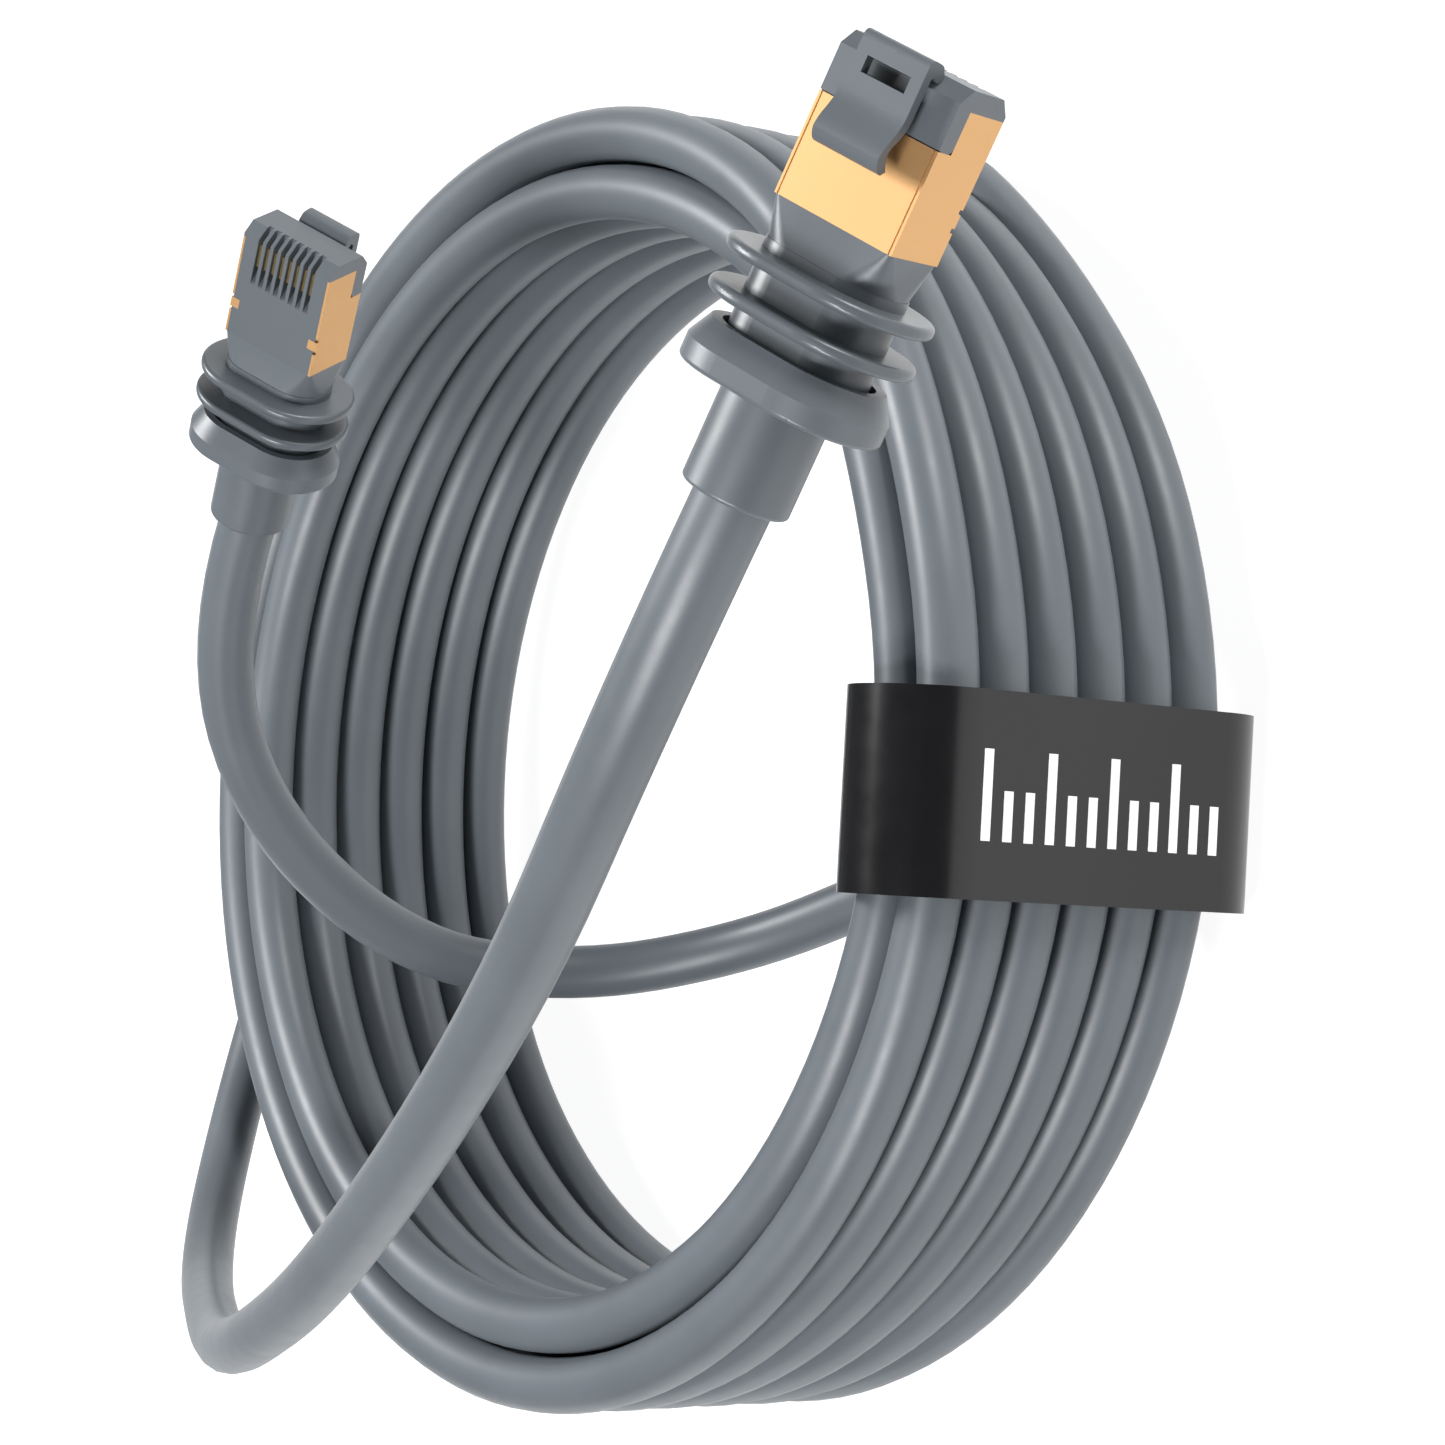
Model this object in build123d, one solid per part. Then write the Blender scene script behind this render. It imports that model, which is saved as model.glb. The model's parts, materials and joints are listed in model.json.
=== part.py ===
from build123d import *
import math
import os

# Coiled ethernet patch cable with a sealed, latching plug on each end.
# Millimetres, +Z up. The coil lies flat; its axis is vertical.
# Everything is built about the coil's axis at the top layer's height, then
# moved once so that the origin is at the middle of the whole part's base.

# ---- cable and coil ------------------------------------------------------
CABLE_R = 3.25                       # jacket radius
TURNS_PER_LAYER = 6                  # the coil has an inner and an outer layer
OUTER_TURN_R = 74.0                  # centreline radius of the outer layer
INNER_TURN_R = 67.1                  # centreline radius of the inner layer
TURN_PITCH = 6.75                    # one turn to the next, along the axis
COIL_LOW = -(TURNS_PER_LAYER - 1) * TURN_PITCH   # height of the lowest turns

# ---- plug (standard 8-contact modular plug) ------------------------------
PLUG_W = 11.68
PLUG_H = 6.6
NOSE = 13.3                          # shield base to nose
NOSE_BEVEL = 1.2
SHIELD_T = 0.25
SHIELD_TOP_L = 8.4                   # shield length on the latch face
SHIELD_SIDE_L = 11.7                 # shield length on the sides
SHOULDER_Z = 8.3                     # plastic shoulders start here
SHOULDER_DROP = 1.8                  # and wrap this far down the sides
SHANK_W, SHANK_H, SHANK_L = 10.0, 5.2, 9.0
CONTACTS = 8
CONTACT_PITCH = 1.02
SLOT_W = 0.6
SLOT_FLOOR = 1.7                     # slot depth below the contact face
SLOT_START, SLOT_RAMP = 6.8, 2.2
BLADE_DEPTH = 0.3                    # below the contact face
BLADE_T = 0.36
BLADE_BACK, BLADE_FRONT = 8.9, 11.5
WIRE_R, WIRE_Y = 0.47, -0.52
WIRE_BACK, WIRE_TIP = -8.0, 8.0
LOAD_BAR_W, LOAD_BAR_H, LOAD_BAR_L = 9.2, 2.8, 4.6
LOAD_BAR_Y = 0.3
CAVITY_GAP = 0.06

# ---- latch: heights are above the latch face -----------------------------
LATCH_W = 6.4
LATCH_T = 0.9
LATCH_TOP = 1.65                     # outer face of the flat part
CREST_TOP = 2.85                     # outer face at the thumb crest
CREST_Z, LIP_Z = 6.1, 5.0
BARREL_R = 0.5
BARREL_GAP = 0.06
WINDOW_W, WINDOW_L, WINDOW_Z = 4.2, 1.3, 11.0
ARCH_REACH = 0.95                    # how far the latch arches past its barrel

# ---- boot: distances behind the shield base ------------------------------
HOOD_L = 3.2
NECK_W, NECK_H = 12.6, 7.6
NECK_L = 11.8
LIP_W, LIP_H, LIP_T = 17.9, 12.8, 1.1
LIP_PLACES = (4.6, 8.0)
COLLAR_MOUTH, COLLAR_RIM, COLLAR_END = 10.3, 12.3, 14.2
COLLAR_W, COLLAR_H = 17.6, 12.5
COLLAR_MOUTH_W, COLLAR_MOUTH_H = 15.4, 10.3
COLLAR_RECESS = 0.5                  # gap round the neck inside the mouth
SLEEVE_R = 4.45
SLEEVE_END = 22.4
FERRULE_R, BRAID_R = 3.72, 3.45      # crimped over the folded-back braid
FERRULE_END = 13.0

# ---- band ----------------------------------------------------------------
BAND_W = 21.5                        # along the turns
BAND_Y = -3.4                        # its middle, along Y
BAND_X = 69.9                        # middle of the loop, out from the axis
BAND_HALF = 8.6                      # half its thickness, outside
BAND_T = 0.7
BAND_TOP, BAND_LOW = 7.9, -44.0
MARK_T = 0.08
MARK_W = 1.2
MARK_STEP = 2.9
MARKS = 12
MARK_TALL, MARK_SHORT = 9.4, 5.2
MARK_FIRST_Z = -1.8

# ---- where each plug's shield base lies, and how it is turned ------------
PLUG_A = Plane(origin=(13.6, 41.9, 46.1), x_dir=(0.743, -0.442, -0.503), z_dir=(0.590, 0.787, 0.181))
PLUG_B = Plane(origin=(145.7, 35.8, 71.6), x_dir=(-0.829, 0.459, 0.320), z_dir=(0.449, 0.887, -0.109))

# Cord routes from the sleeve's end to the coil: the points between the ends.
ROUTE_A = [
    (-11, 10, 40), (-18, -10, 28), (-19, -25, 6), (-12, -27, -14), (4, -22, -28),
    (25, -14, -33), (40, -8, -34), (50, 4, -34), (56, 18, -34), (57, 33, -34),
]
ROUTE_B = [
    (127, 0, 76), (97, -26, 67), (45, -55, 52), (8, -68, 41), (-25, -72, 26),
    (-57, -67, 11), (-77, -47, -4), (-84, -20, -15), (-82, 10, -24), (-73, 37, -32),
    (-52, 62, -36), (-25, 77, -36.5), (7, 80, -36.5), (38, 70, -36.5), (58, 46, -35),
]

# Which contacts each coloured pair of wires ends on.
PAIR_PLACES = {"orange": (0, 1), "green": (2, 5), "blue": (3, 4), "brown": (6, 7)}


def block(x0, x1, y0, y1, z0, z1):
    """A box from its lowest and highest corners."""
    return Pos((x0 + x1) / 2, (y0 + y1) / 2, (z0 + z1) / 2) * Box(x1 - x0, y1 - y0, z1 - z0)


def side_profile(points, half_width):
    """A solid of constant section across the plug; points are (z, y)."""
    outline = Polyline([(0, y, z) for z, y in points], close=True)
    return extrude(make_face(outline), amount=half_width, dir=(1, 0, 0), both=True)


def rounded_section(width, height, radius, z):
    return Pos(0, 0, z) * RectangleRounded(width, height, radius)


def near_stadium(width, height, z):
    """A section with round ends, as wide as the boot's rubber parts."""
    return rounded_section(width, height, height / 2 - 0.1, z)


def contact_x(index):
    return (index - (CONTACTS - 1) / 2) * CONTACT_PITCH


def contact_blades():
    """Eight blades, each standing in its slot and ending on its wire."""
    low = -PLUG_H / 2 + BLADE_DEPTH
    high = WIRE_Y - WIRE_R
    blade = block(-BLADE_T / 2, BLADE_T / 2, low, high, BLADE_BACK, BLADE_FRONT)
    return [Pos(contact_x(i), 0, 0) * blade for i in range(CONTACTS)]


def plug_housing():
    half_w, half_h = PLUG_W / 2, PLUG_H / 2
    core_w = half_w - SHIELD_T
    body = block(-core_w, core_w, -half_h, half_h - SHIELD_T, 0, NOSE)
    body += block(-half_w, half_w, -half_h, half_h, SHIELD_SIDE_L, NOSE)
    shoulders = block(-half_w, half_w, half_h - SHOULDER_DROP, half_h, SHOULDER_Z, NOSE)
    lower = shoulders.edges().filter_by(Axis.X).group_by(Axis.Z)[0].sort_by(Axis.Y)[0]
    body += fillet(lower, 0.6)
    body -= block(-half_w, half_w, half_h - SHIELD_T, half_h, SHOULDER_Z, SHIELD_TOP_L)
    body += block(-SHANK_W / 2, SHANK_W / 2, -SHANK_H / 2, SHANK_H / 2, -SHANK_L, 0)
    front = body.edges().filter_by(Axis.X).group_by(Axis.Z)[-1]
    body = chamfer(front, NOSE_BEVEL)

    # rear cavity for the load bar and the wires
    half_bar = LOAD_BAR_W / 2 + CAVITY_GAP
    bar_low = LOAD_BAR_Y - LOAD_BAR_H / 2 - CAVITY_GAP
    bar_high = LOAD_BAR_Y + LOAD_BAR_H / 2 + CAVITY_GAP
    body -= block(-half_bar, half_bar, bar_low, bar_high, -SHANK_L, 8.2)

    # contact slots, open to the contact face and to the nose
    floor = -half_h + SLOT_FLOOR
    slot = side_profile(
        [(SLOT_START, -half_h - 1), (SLOT_START, -half_h), (SLOT_START + SLOT_RAMP, floor),
         (NOSE + 1, floor), (NOSE + 1, -half_h - 1)],
        SLOT_W / 2,
    )
    for i in range(CONTACTS):
        body -= Pos(contact_x(i), 0, 0) * slot
    for blade in contact_blades():
        body -= blade
    for i in range(CONTACTS):
        body -= wire(i)
    for side in (-1, 1):
        body -= shield_tab(side)
    return body


def shield_tab(side):
    """A tab folded over the contact face near its edge."""
    inner, outer = PLUG_W / 2 - 1.1, PLUG_W / 2
    x0, x1 = sorted((side * inner, side * outer))
    return block(x0, x1, -PLUG_H / 2, -PLUG_H / 2 + SHIELD_T, 3.1, 4.2)


def shield_shell():
    half_w, half_h = PLUG_W / 2, PLUG_H / 2
    shell = block(-half_w, half_w, half_h - SHIELD_T, half_h, 0, SHOULDER_Z)
    for side in (-1, 1):
        x0, x1 = sorted((side * (half_w - SHIELD_T), side * half_w))
        wall = block(x0, x1, -half_h, half_h - SHIELD_T, 0, SHIELD_SIDE_L)
        wall -= block(x0, x1, half_h - SHOULDER_DROP, half_h, SHOULDER_Z, NOSE)
        for notch in (2.7, 4.2):
            wall -= block(x0, x1, -half_h, -half_h + 0.4, notch, notch + 0.4)
        shell += wall
        shell += shield_tab(side)
        # the fold's scored line along the corner
        g0, g1 = sorted((side * (half_w - 0.36), side * (half_w - 0.22)))
        shell -= block(g0, g1, half_h - 0.1, half_h, 0, SHOULDER_Z)
    return shell


def barrel_centre():
    """Middle of the latch's hinge barrel, as (y, z), just off the nose bevel."""
    step = (BARREL_R + BARREL_GAP) / math.sqrt(2)
    return PLUG_H / 2 - NOSE_BEVEL / 2 + step, NOSE - NOSE_BEVEL / 2 + step


def latch():
    """Arched spring latch: barrel at the nose, flat back, S-curved lever and lip."""
    face = PLUG_H / 2
    y0, z0 = barrel_centre()
    flat, under = face + LATCH_TOP, face + LATCH_TOP - LATCH_T
    front, bend, crest = z0 + ARCH_REACH, CREST_Z + 3.6, face + CREST_TOP
    lip = (0, face + 1.75, LIP_Z)
    lip_inside = (0, face + 1.25, LIP_Z + 0.35)
    rearward = (0, 0, -1)
    outline = [
        Spline((0, y0 - 0.3, z0 + 0.3), (0, y0 + 0.7, front), (0, flat, z0 + 0.3),
               tangents=[(0, 0.3, 1), rearward]),
        Line((0, flat, z0 + 0.3), (0, flat, bend)),
        Spline((0, flat, bend), (0, crest, CREST_Z), tangents=[rearward, (0, 0.1, -1)]),
        Spline((0, crest, CREST_Z), lip, tangents=[(0, -0.3, -1), (0, -1, -0.1)]),
        Line(lip, lip_inside),
        Spline(lip_inside, (0, crest - LATCH_T, CREST_Z + 0.5), (0, under, bend + 0.2),
               tangents=[(0, 0.6, 0.6), (0, 0, 1)]),
        Line((0, under, bend + 0.2), (0, under, z0 - 0.4)),
        Line((0, under, z0 - 0.4), (0, y0 - 0.3, z0 + 0.3)),
    ]
    lever = extrude(make_face(outline), amount=LATCH_W / 2, dir=(1, 0, 0), both=True)
    barrel = Pos(0, y0, z0) * Rot(0, 90, 0) * Cylinder(BARREL_R, LATCH_W)
    window = block(-WINDOW_W / 2, WINDOW_W / 2, face + 0.4, face + 3, WINDOW_Z, WINDOW_Z + WINDOW_L)
    return lever + barrel - window


def wire(index):
    rod = Cylinder(WIRE_R, WIRE_TIP - WIRE_BACK)
    return Pos(contact_x(index), WIRE_Y, (WIRE_BACK + WIRE_TIP) / 2) * rod


def load_bar():
    bar = block(
        -LOAD_BAR_W / 2, LOAD_BAR_W / 2,
        LOAD_BAR_Y - LOAD_BAR_H / 2, LOAD_BAR_Y + LOAD_BAR_H / 2,
        8.1 - LOAD_BAR_L, 8.1,
    )
    for i in range(CONTACTS):
        bar -= wire(i)
    return bar


def hood():
    """Tapers from the plug's rectangle to the round-ended neck."""
    outer = loft([
        rounded_section(PLUG_W, PLUG_H, 0.5, 0),
        rounded_section(PLUG_W + 0.2, PLUG_H + 0.3, 1.8, -HOOD_L / 2),
        rounded_section(NECK_W - 0.3, NECK_H - 0.2, NECK_H / 2 - 0.3, -HOOD_L),
    ])
    return outer - block(-SHANK_W / 2, SHANK_W / 2, -SHANK_H / 2, SHANK_H / 2, -HOOD_L, 0)


def seal_boot():
    """The neck and its two sealing lips."""
    boot = extrude(near_stadium(NECK_W, NECK_H, -NECK_L), amount=NECK_L - HOOD_L)
    for place in LIP_PLACES:
        lip = extrude(near_stadium(LIP_W, LIP_H, -place - LIP_T / 2), amount=LIP_T)
        rims = lip.edges().group_by(Axis.Z)
        boot += fillet(rims[0] + rims[-1], LIP_T * 0.42)
    boot -= block(-SHANK_W / 2, SHANK_W / 2, -SHANK_H / 2, SHANK_H / 2, -SHANK_L, 0)
    boot -= Pos(0, 0, -(NECK_L + SHANK_L) / 2) * Cylinder(FERRULE_R, NECK_L - SHANK_L)
    return boot


def collar():
    """Cone-fronted push collar, open round the neck at its mouth."""
    cone = loft([
        near_stadium(COLLAR_W, COLLAR_H, -COLLAR_RIM),
        near_stadium(COLLAR_MOUTH_W, COLLAR_MOUTH_H, -COLLAR_MOUTH),
    ])
    body = cone + extrude(near_stadium(COLLAR_W, COLLAR_H, -COLLAR_END), amount=COLLAR_END - COLLAR_RIM)
    body = fillet(body.edges().group_by(Axis.Z)[0], 0.4)
    mouth = near_stadium(NECK_W + 2 * COLLAR_RECESS, NECK_H + 2 * COLLAR_RECESS, -NECK_L)
    body -= extrude(mouth, amount=NECK_L)
    body -= Pos(0, 0, -FERRULE_END / 2) * Cylinder(FERRULE_R, FERRULE_END)
    return body - Pos(0, 0, -COLLAR_END / 2) * Cylinder(CABLE_R, COLLAR_END + 2)


def ring(outer_r, inner_r, z0, z1):
    middle, length = (z0 + z1) / 2, z1 - z0
    return Pos(0, 0, middle) * (Cylinder(outer_r, length) - Cylinder(inner_r, length))


def sleeve():
    tube = ring(SLEEVE_R, CABLE_R, -SLEEVE_END, -COLLAR_END)
    end = tube.faces().sort_by(Axis.Z)[0].edges().sort_by(SortBy.RADIUS)[-1]
    return fillet(end, 0.35)


def end_nodes(letter, place, route):
    """Every piece of one end of the cable, in the plug's own frame, then placed."""
    pieces = {
        "plug_housing": plug_housing(),
        "latch": latch(),
        "contact_blades": Compound(children=contact_blades()),
        "shield_shell": shield_shell(),
        "load_bar": load_bar(),
        "hood": hood(),
        "seal_boot": seal_boot(),
        "collar": collar(),
        "sleeve": sleeve(),
        "jacket_end": Pos(0, 0, -(SLEEVE_END + SHANK_L) / 2) * Cylinder(CABLE_R, SLEEVE_END - SHANK_L),
    }
    pieces["ferrule"] = ring(FERRULE_R, BRAID_R, -FERRULE_END, -SHANK_L)
    pieces["braid"] = ring(BRAID_R, CABLE_R, -FERRULE_END, -SHANK_L)
    for pair, places in PAIR_PLACES.items():
        pieces["wire_pair_" + pair] = Compound(children=[wire(i) for i in places])
    placed = {f"{name}_{letter}": place.location * piece for name, piece in pieces.items()}
    placed[f"tail_{letter}"] = cord_tube(letter, [place.from_local_coords((0, 0, -SLEEVE_END))] + route)
    return placed


def cord_tube(letter, points):
    """Straight runs joined by the largest arcs they allow, swept with the jacket's circle."""
    corners = [Vector(p) for p in points]
    radii = []
    for before, here, after in zip(corners, corners[1:], corners[2:]):
        into, out = here - before, after - here
        turn = math.radians(into.get_angle(out))
        radii.append(0.45 * min(into.length, out.length) / math.tan(turn / 2))
    print(f"tail_{letter} radii", [round(r) for r in radii])
    path = FilletPolyline(*corners, radius=radii)
    section = Plane(origin=path @ 0, z_dir=path % 0) * Circle(CABLE_R)
    tube = sweep(section, path=path)
    expected = math.pi * CABLE_R ** 2 * path.length
    print(f"tail_{letter} length {path.length:.0f}, volume {tube.volume:.0f}, expected {expected:.0f}")
    return tube


def coil():
    """The outer shape of both layers of turns."""
    inner, outer = INNER_TURN_R - CABLE_R, OUTER_TURN_R + CABLE_R
    body = ring(outer, inner, COIL_LOW - CABLE_R, CABLE_R)
    circles = body.edges().filter_by(GeomType.CIRCLE)
    return fillet(circles, CABLE_R)


def band_section(half, top, low):
    across = Plane(origin=(BAND_X, 0, (top + low) / 2), x_dir=(0, 0, 1), z_dir=(0, 1, 0))
    return across * SlotOverall(top - low, 2 * half)


def band():
    """A flat strap wrapped once round all the turns."""
    outer = extrude(band_section(BAND_HALF, BAND_TOP, BAND_LOW), amount=BAND_W)
    inner = extrude(band_section(BAND_HALF - BAND_T, BAND_TOP - BAND_T, BAND_LOW + BAND_T), amount=BAND_W)
    return Pos(0, BAND_Y - BAND_W / 2, 0) * (outer - inner)


def band_marks():
    """A plain printed scale: one bar for each step, every third one tall."""
    face_x = BAND_X + BAND_HALF
    bars = []
    for i in range(MARKS):
        half = (MARK_TALL if i % 3 == 0 else MARK_SHORT) / 2
        z = MARK_FIRST_Z - i * MARK_STEP
        foot = BAND_Y - MARK_TALL / 2
        bars.append(block(face_x, face_x + MARK_T, foot, foot + 2 * half, z - MARK_W / 2, z + MARK_W / 2))
    return Compound(children=bars)


nodes = {"coil": coil(), "band": band(), "band_marks": band_marks()}
nodes.update(end_nodes("a", PLUG_A, ROUTE_A))
nodes.update(end_nodes("b", PLUG_B, ROUTE_B))

boxes = [piece.bounding_box() for piece in nodes.values()]
middle_x = (min(b.min.X for b in boxes) + max(b.max.X for b in boxes)) / 2
middle_y = (min(b.min.Y for b in boxes) + max(b.max.Y for b in boxes)) / 2
to_origin = Pos(-middle_x, -middle_y, -min(b.min.Z for b in boxes))
print("moved by", to_origin.position)

os.makedirs("parts", exist_ok=True)
for name, piece in nodes.items():
    export_step(to_origin * piece, f"parts/{name}.step")
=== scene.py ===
import json
import math

import bpy
from mathutils import Matrix, Vector


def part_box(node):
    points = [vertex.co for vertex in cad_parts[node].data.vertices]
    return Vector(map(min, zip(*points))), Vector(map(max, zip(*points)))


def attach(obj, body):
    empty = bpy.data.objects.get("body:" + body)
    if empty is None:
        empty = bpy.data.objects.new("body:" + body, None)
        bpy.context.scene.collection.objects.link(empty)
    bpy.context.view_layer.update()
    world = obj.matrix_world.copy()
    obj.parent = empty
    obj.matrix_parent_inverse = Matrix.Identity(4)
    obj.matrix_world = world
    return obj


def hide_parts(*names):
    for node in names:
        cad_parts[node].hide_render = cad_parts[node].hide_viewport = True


MM = 0.001

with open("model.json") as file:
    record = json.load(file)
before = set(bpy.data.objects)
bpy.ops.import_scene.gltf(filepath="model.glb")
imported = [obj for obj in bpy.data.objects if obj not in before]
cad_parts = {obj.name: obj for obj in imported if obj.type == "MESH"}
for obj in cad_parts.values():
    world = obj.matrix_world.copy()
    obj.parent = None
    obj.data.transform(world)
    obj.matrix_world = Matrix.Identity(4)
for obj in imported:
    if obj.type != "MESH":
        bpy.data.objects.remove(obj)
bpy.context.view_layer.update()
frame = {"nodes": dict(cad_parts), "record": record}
nodes = frame["nodes"]

# The coil's axis at the height of its top turns: routes are given from here.
CABLE_R = 3.25
coil_low, coil_high = (Vector(corner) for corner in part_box("coil"))
COIL_TOP = Vector((
    (coil_low.x + coil_high.x) / 2,
    (coil_low.y + coil_high.y) / 2,
    coil_high.z - CABLE_R * MM,
))

# ---- camera ----------------------------------------------------------------
LENS, SENSOR = 88.83, 36.0
CLIP_START = 0.01                       # metres
CAMERA_AT = (354.3, -12.4, 234.6)
CAMERA_RIGHT = (0.5929, 0.0556, -0.8034)
CAMERA_BACK = (0.8053, -0.0409, 0.5915)


def from_coil(point):
    """Millimetres from the coil's axis to metres in the row frame."""
    return COIL_TOP + Vector(point) * MM


def camera():
    data = bpy.data.cameras.new("camera")
    data.lens = LENS
    data.sensor_width = SENSOR
    data.clip_start = CLIP_START
    item = bpy.data.objects.new("camera", data)
    back = Vector(CAMERA_BACK).normalized()
    right = Vector(CAMERA_RIGHT)
    right = (right - back * right.dot(back)).normalized()
    turn = Matrix((right, back.cross(right), back)).transposed()
    item.matrix_world = Matrix.Translation(from_coil(CAMERA_AT)) @ turn.to_4x4()
    bpy.context.scene.collection.objects.link(item)
    bpy.context.scene.camera = item


# ---- materials ---------------------------------------------------------------
class Recipe:
    """One node-based material, built around a Principled shader."""

    def __init__(self, name, **sockets):
        self.material = bpy.data.materials.new(name)
        self.material.use_nodes = True
        self.tree = self.material.node_tree
        self.shader = self.tree.nodes["Principled BSDF"]
        for socket, value in sockets.items():
            self.shader.inputs[socket.replace("_", " ")].default_value = value
        self.bump_out = None

    def node(self, kind, **settings):
        item = self.tree.nodes.new(kind)
        for key, value in settings.items():
            setattr(item, key, value)
        return item

    def link(self, source, target):
        self.tree.links.new(source, target)

    def coordinates(self, scale=(1, 1, 1)):
        place = self.node("ShaderNodeTexCoord")
        mapping = self.node("ShaderNodeMapping")
        mapping.inputs["Scale"].default_value = scale
        self.link(place.outputs["Object"], mapping.inputs["Vector"])
        return mapping.outputs["Vector"]

    def noise(self, scale, detail=3.0, stretch=(1, 1, 1)):
        item = self.node("ShaderNodeTexNoise")
        item.inputs["Scale"].default_value = scale
        item.inputs["Detail"].default_value = detail
        self.link(self.coordinates(stretch), item.inputs["Vector"])
        return item.outputs["Fac"]

    def ramp(self, source, stops):
        item = self.node("ShaderNodeValToRGB")
        ends = item.color_ramp.elements
        while len(ends) < len(stops):
            ends.new(0.5)
        for element, (place, colour) in zip(ends, stops):
            element.position = place
            element.color = (*colour, 1)
        self.link(source, item.inputs["Fac"])
        return item.outputs["Color"]

    def spread(self, source, low, high):
        item = self.node("ShaderNodeMapRange")
        item.inputs["To Min"].default_value = low
        item.inputs["To Max"].default_value = high
        self.link(source, item.inputs["Value"])
        return item.outputs["Result"]

    def bump(self, source, strength, distance):
        item = self.node("ShaderNodeBump")
        item.inputs["Strength"].default_value = strength
        item.inputs["Distance"].default_value = distance
        self.link(source, item.inputs["Height"])
        if self.bump_out is not None:
            self.link(self.bump_out, item.inputs["Normal"])
        self.bump_out = item.outputs["Normal"]
        self.link(self.bump_out, self.shader.inputs["Normal"])

    def colour(self, source):
        self.link(source, self.shader.inputs["Base Color"])

    def roughness(self, source):
        self.link(source, self.shader.inputs["Roughness"])


def tint(colour, factor):
    return tuple(channel * factor for channel in colour)


def moulded(name, colour, roughness, grain):
    """Moulded plastic or rubber: slight cloudiness and a fine skin texture."""
    made = Recipe(name)
    cloud = made.noise(60.0, 4.0)
    made.colour(made.ramp(cloud, [(0.3, tint(colour, 0.93)), (0.7, tint(colour, 1.07))]))
    made.roughness(made.spread(made.noise(350.0, 2.0), roughness - 0.05, roughness + 0.05))
    made.bump(made.noise(2600.0, 3.0), grain, 0.00004)
    made.bump(made.noise(120.0, 2.0), grain, 0.00006)
    return made.material


def metal(name, colour, roughness, brush=(1, 1, 1)):
    """Plain metal with fine lines, drawn out along one direction by brush."""
    made = Recipe(name, Metallic=1.0)
    lines = made.noise(1800.0, 4.0, brush)
    made.colour(made.ramp(made.noise(40.0), [(0.3, tint(colour, 0.98)), (0.7, tint(colour, 1.02))]))
    made.roughness(made.spread(lines, roughness - 0.03, roughness + 0.04))
    made.bump(lines, 0.05, 0.00001)
    return made.material


def woven_metal(name):
    """Metal wires woven into a diagonal pattern."""
    made = Recipe(name, Metallic=1.0)
    wave = made.node("ShaderNodeTexWave", wave_type="BANDS", bands_direction="DIAGONAL")
    wave.inputs["Scale"].default_value = 900.0
    made.link(made.coordinates(), wave.inputs["Vector"])
    made.colour(made.ramp(wave.outputs["Fac"], [(0.2, (0.3, 0.3, 0.3)), (0.8, (0.75, 0.74, 0.72))]))
    made.roughness(made.spread(wave.outputs["Fac"], 0.5, 0.25))
    made.bump(wave.outputs["Fac"], 0.6, 0.0001)
    return made.material


GREY = (0.105, 0.121, 0.136)

materials = {
    "jacket": moulded("jacket_grey", GREY, 0.42, 0.10),
    "boot": moulded("boot_grey", tint(GREY, 0.92), 0.38, 0.08),
    "seal_rubber": moulded("seal_grey", tint(GREY, 0.8), 0.34, 0.06),
    "plug_plastic": moulded("plug_grey", tint(GREY, 0.88), 0.4, 0.06),
    "clear_plastic": moulded("load_bar_frosted", (0.75, 0.77, 0.77), 0.3, 0.05),
    "contact_gold": metal("contact_gold", (0.95, 0.70, 0.32), 0.2),
    "shield_gold": metal("shield_gold", (0.62, 0.37, 0.17), 0.5, (1, 1, 0.15)),
    "ferrule": metal("ferrule_metal", (0.75, 0.72, 0.66), 0.3),
    "braid": woven_metal("braid_wire"),
    "wire_blue": moulded("wire_blue", (0.03, 0.12, 0.5), 0.35, 0.05),
    "wire_orange": moulded("wire_orange", (0.8, 0.25, 0.03), 0.35, 0.05),
    "wire_green": moulded("wire_green", (0.03, 0.3, 0.08), 0.35, 0.05),
    "wire_brown": moulded("wire_brown", (0.2, 0.09, 0.04), 0.35, 0.05),
    "band": moulded("band_black", (0.005, 0.005, 0.006), 0.24, 0.05),
    "print": moulded("print_white", (0.85, 0.85, 0.85), 0.5, 0.04),
}


def dress_cad_nodes():
    """Gives every carried-over node the material of its slot."""
    slots = {part["node"]: part["material_slot"] for part in frame["record"]["subparts"]}
    for name, item in nodes.items():
        item.data.materials.clear()
        item.data.materials.append(materials[slots[name]])


# ---- the cable ---------------------------------------------------------------
TURNS = 6                               # in each of the two layers
OUTER_R, INNER_R = 74.0, 67.1
PITCH = 6.75
STEP_ANGLE = 24                         # degrees from one control point to the next
CROSS_FROM, CROSS_TO = 28, 62           # every turn steps to the next in this sector
CROSS_DELAY = 5                         # each outer step starts this much later
LEAD_FROM, LEAD_TO = 50, 86             # the last pass moves outside the others here
OUTSIDE_R, OUTSIDE_LOWER = OUTER_R + 5.9, 2.75
WINDING_END = 98                        # past this angle the cable follows route B
# A quadratic spline runs inside the circle of its control points by this factor.
SPLINE_SHRINK = (6 + 2 * math.cos(math.radians(STEP_ANGLE))) / 8
CURVE_STEPS, SECTION_STEPS = 8, 6       # how finely it is drawn along and round

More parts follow.
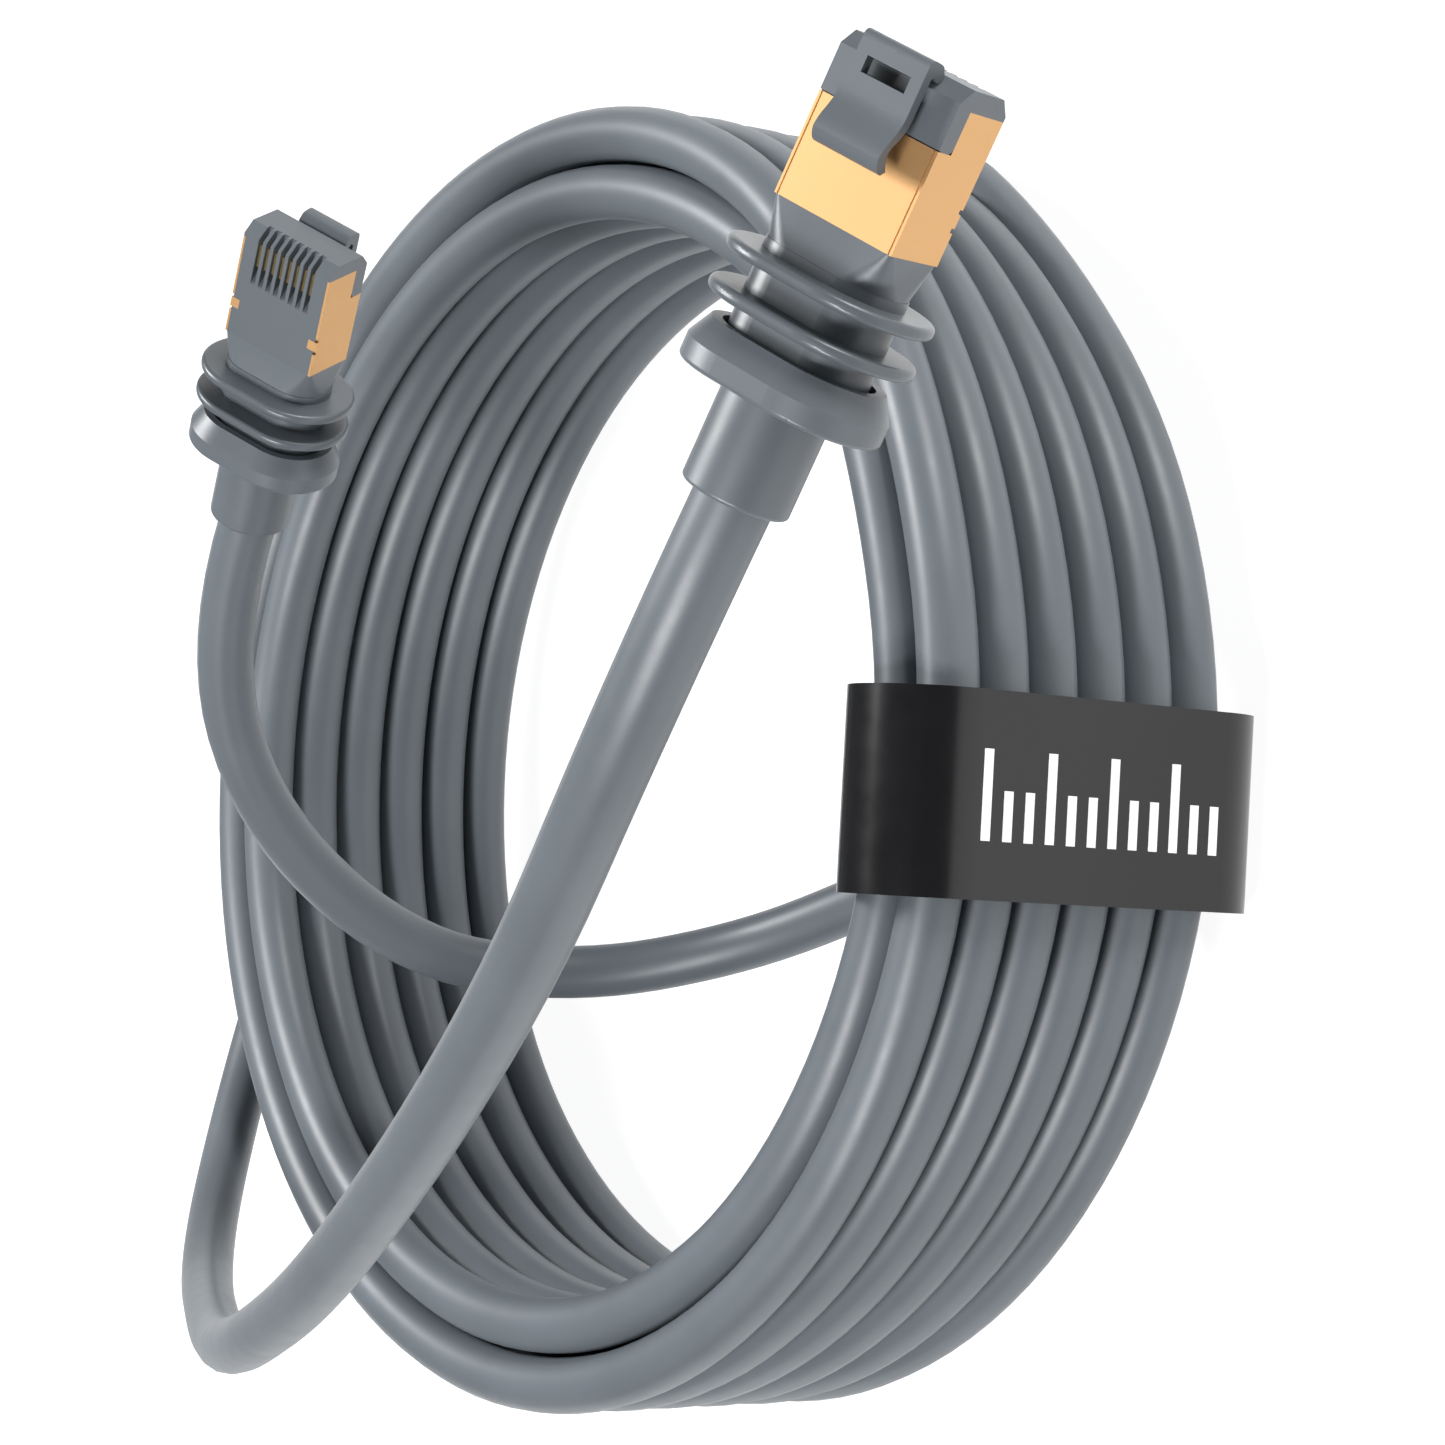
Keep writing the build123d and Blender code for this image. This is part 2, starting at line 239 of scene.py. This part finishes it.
ROUTE_A = [
    (-11, 10, 40), (-18, -10, 28), (-19, -25, 6), (-12, -27, -14), (4, -22, -28),
    (25, -14, -33), (40, -8, -34), (50, 4, -34), (56, 18, -34),
]
ROUTE_B = [
    (127, 0, 76), (97, -26, 67), (45, -55, 52), (8, -68, 41), (-25, -72, 26),
    (-57, -67, 11), (-77, -47, -4), (-84, -20, -15), (-82, 10, -24), (-73, 37, -32),
    (-52, 62, -36), (-25, 77, -36.5),
]
PLUG_A = ((13.6, 41.9, 46.1), (0.590, 0.787, 0.181))
PLUG_B = ((145.7, 35.8, 71.6), (0.449, 0.887, -0.109))
SLEEVE_END = 22.4


def sleeve_mouth(plug):
    base, nose = Vector(plug[0]), Vector(plug[1]).normalized()
    return base - nose * SLEEVE_END


def smooth(value, start, end):
    share = min(max((value - start) / (end - start), 0.0), 1.0)
    return share * share * (3 - 2 * share)


def layer_place(angle):
    """Radius and height of the winding at a total angle, in degrees."""
    crossings = 0.0
    for turn in range(1, 2 * TURNS):
        begin = 360 * turn + CROSS_DELAY * max(turn - TURNS, 0)
        crossings += smooth(angle, begin + CROSS_FROM, begin + CROSS_TO)
    lead = 360 * 2 * TURNS
    out = smooth(angle, lead + LEAD_FROM, lead + LEAD_TO)
    lowest = -(TURNS - 1) * PITCH
    if crossings <= TURNS - 1:
        return INNER_R, lowest + crossings * PITCH
    if crossings <= TURNS:
        return INNER_R + (OUTER_R - INNER_R) * (crossings - TURNS + 1), 0.0
    height = -(crossings - TURNS) * PITCH - OUTSIDE_LOWER * out
    return OUTER_R + (OUTSIDE_R - OUTER_R) * out, height


def winding():
    """Control points of all the turns, from the inner low one to the outer low one."""
    points = []
    angle = CROSS_FROM
    last = 360 * 2 * TURNS + WINDING_END
    while angle <= last:
        radius, height = layer_place(angle)
        radius /= SPLINE_SHRINK
        turn = math.radians(angle)
        points.append((radius * math.cos(turn), radius * math.sin(turn), height))
        angle += STEP_ANGLE
    return points


def nurbs(name, points, radius):
    curve = bpy.data.curves.new(name, "CURVE")
    curve.dimensions = "3D"
    spline = curve.splines.new("NURBS")
    spline.points.add(len(points) - 1)
    for control, place in zip(spline.points, points):
        control.co = (*place, 1)
    spline.order_u = 3
    spline.use_endpoint_u = True
    spline.resolution_u = CURVE_STEPS
    curve.bevel_depth = radius
    curve.bevel_resolution = SECTION_STEPS
    item = bpy.data.objects.new(name, curve)
    bpy.context.scene.collection.objects.link(item)
    return item


def line_length(item):
    """Length of a curve's centreline, in metres."""
    bare = item.data.copy()
    bare.bevel_depth = 0
    probe = bpy.data.objects.new("probe", bare)
    line = bpy.data.meshes.new_from_object(probe)
    places = [v.co.copy() for v in line.vertices]
    bpy.data.objects.remove(probe)
    return sum((b - a).length for a, b in zip(places, places[1:]))


def cable():
    start, end = sleeve_mouth(PLUG_A), sleeve_mouth(PLUG_B)
    route = [start, *ROUTE_A, *winding(), *reversed(ROUTE_B), end]
    piece = nurbs("cable", [from_coil(point) for point in route], CABLE_R * MM)
    piece.data.materials.append(materials["jacket"])
    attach(piece, "cable")
    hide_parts("coil", "tail_a", "tail_b")
    round(line_length(piece), 2)


# ---- studio ------------------------------------------------------------------
FLOOR_SIZE = 6.0
FLOOR_GLOW = 0.92
FLOOR_SHADES = [(0.0, (0.24, 0.24, 0.24)), (1.0, (0.27, 0.27, 0.27))]
WHITE = (1, 1, 1, 1)
WORLD_STRENGTH = 0.12


def floor():
    mesh = bpy.data.meshes.new("floor")
    half = FLOOR_SIZE / 2
    corners = [(-half, -half, 0), (half, -half, 0), (half, half, 0), (-half, half, 0)]
    mesh.from_pydata(corners, [], [(0, 1, 2, 3)])
    item = bpy.data.objects.new("floor", mesh)
    bpy.context.scene.collection.objects.link(item)
    made = Recipe("floor_white", Roughness=0.9, Specular_IOR_Level=0.1)
    made.shader.inputs["Emission Strength"].default_value = FLOOR_GLOW
    made.shader.inputs["Emission Color"].default_value = WHITE
    made.colour(made.ramp(made.noise(2.0), FLOOR_SHADES))
    mesh.materials.append(made.material)


def area_light(name, place, size, power):
    """A soft light aimed at the coil; place is in the row frame's directions, in metres."""
    data = bpy.data.lights.new(name, "AREA")
    data.shape = "RECTANGLE"
    data.size, data.size_y = size
    data.energy = power
    item = bpy.data.objects.new(name, data)
    item.location = COIL_TOP + Vector(place)
    item.rotation_euler = Vector(place).to_track_quat("Z", "Y").to_euler()
    bpy.context.scene.collection.objects.link(item)


def studio():
    floor()
    world = bpy.data.worlds.new("studio")
    world.use_nodes = True
    background = world.node_tree.nodes["Background"]
    background.inputs["Color"].default_value = WHITE
    background.inputs["Strength"].default_value = WORLD_STRENGTH
    bpy.context.scene.world = world
    area_light("overhead", (-0.42, 0.34, 0.75), (0.3, 0.4), 10)
    area_light("front", (0.30, -0.55, 0.80), (0.15, 0.5), 11)
    area_light("rim", (0.62, 0.72, 0.10), (0.3, 0.3), 6)
    bpy.context.scene.view_settings.view_transform = "Standard"


camera()
dress_cad_nodes()
cable()
studio()
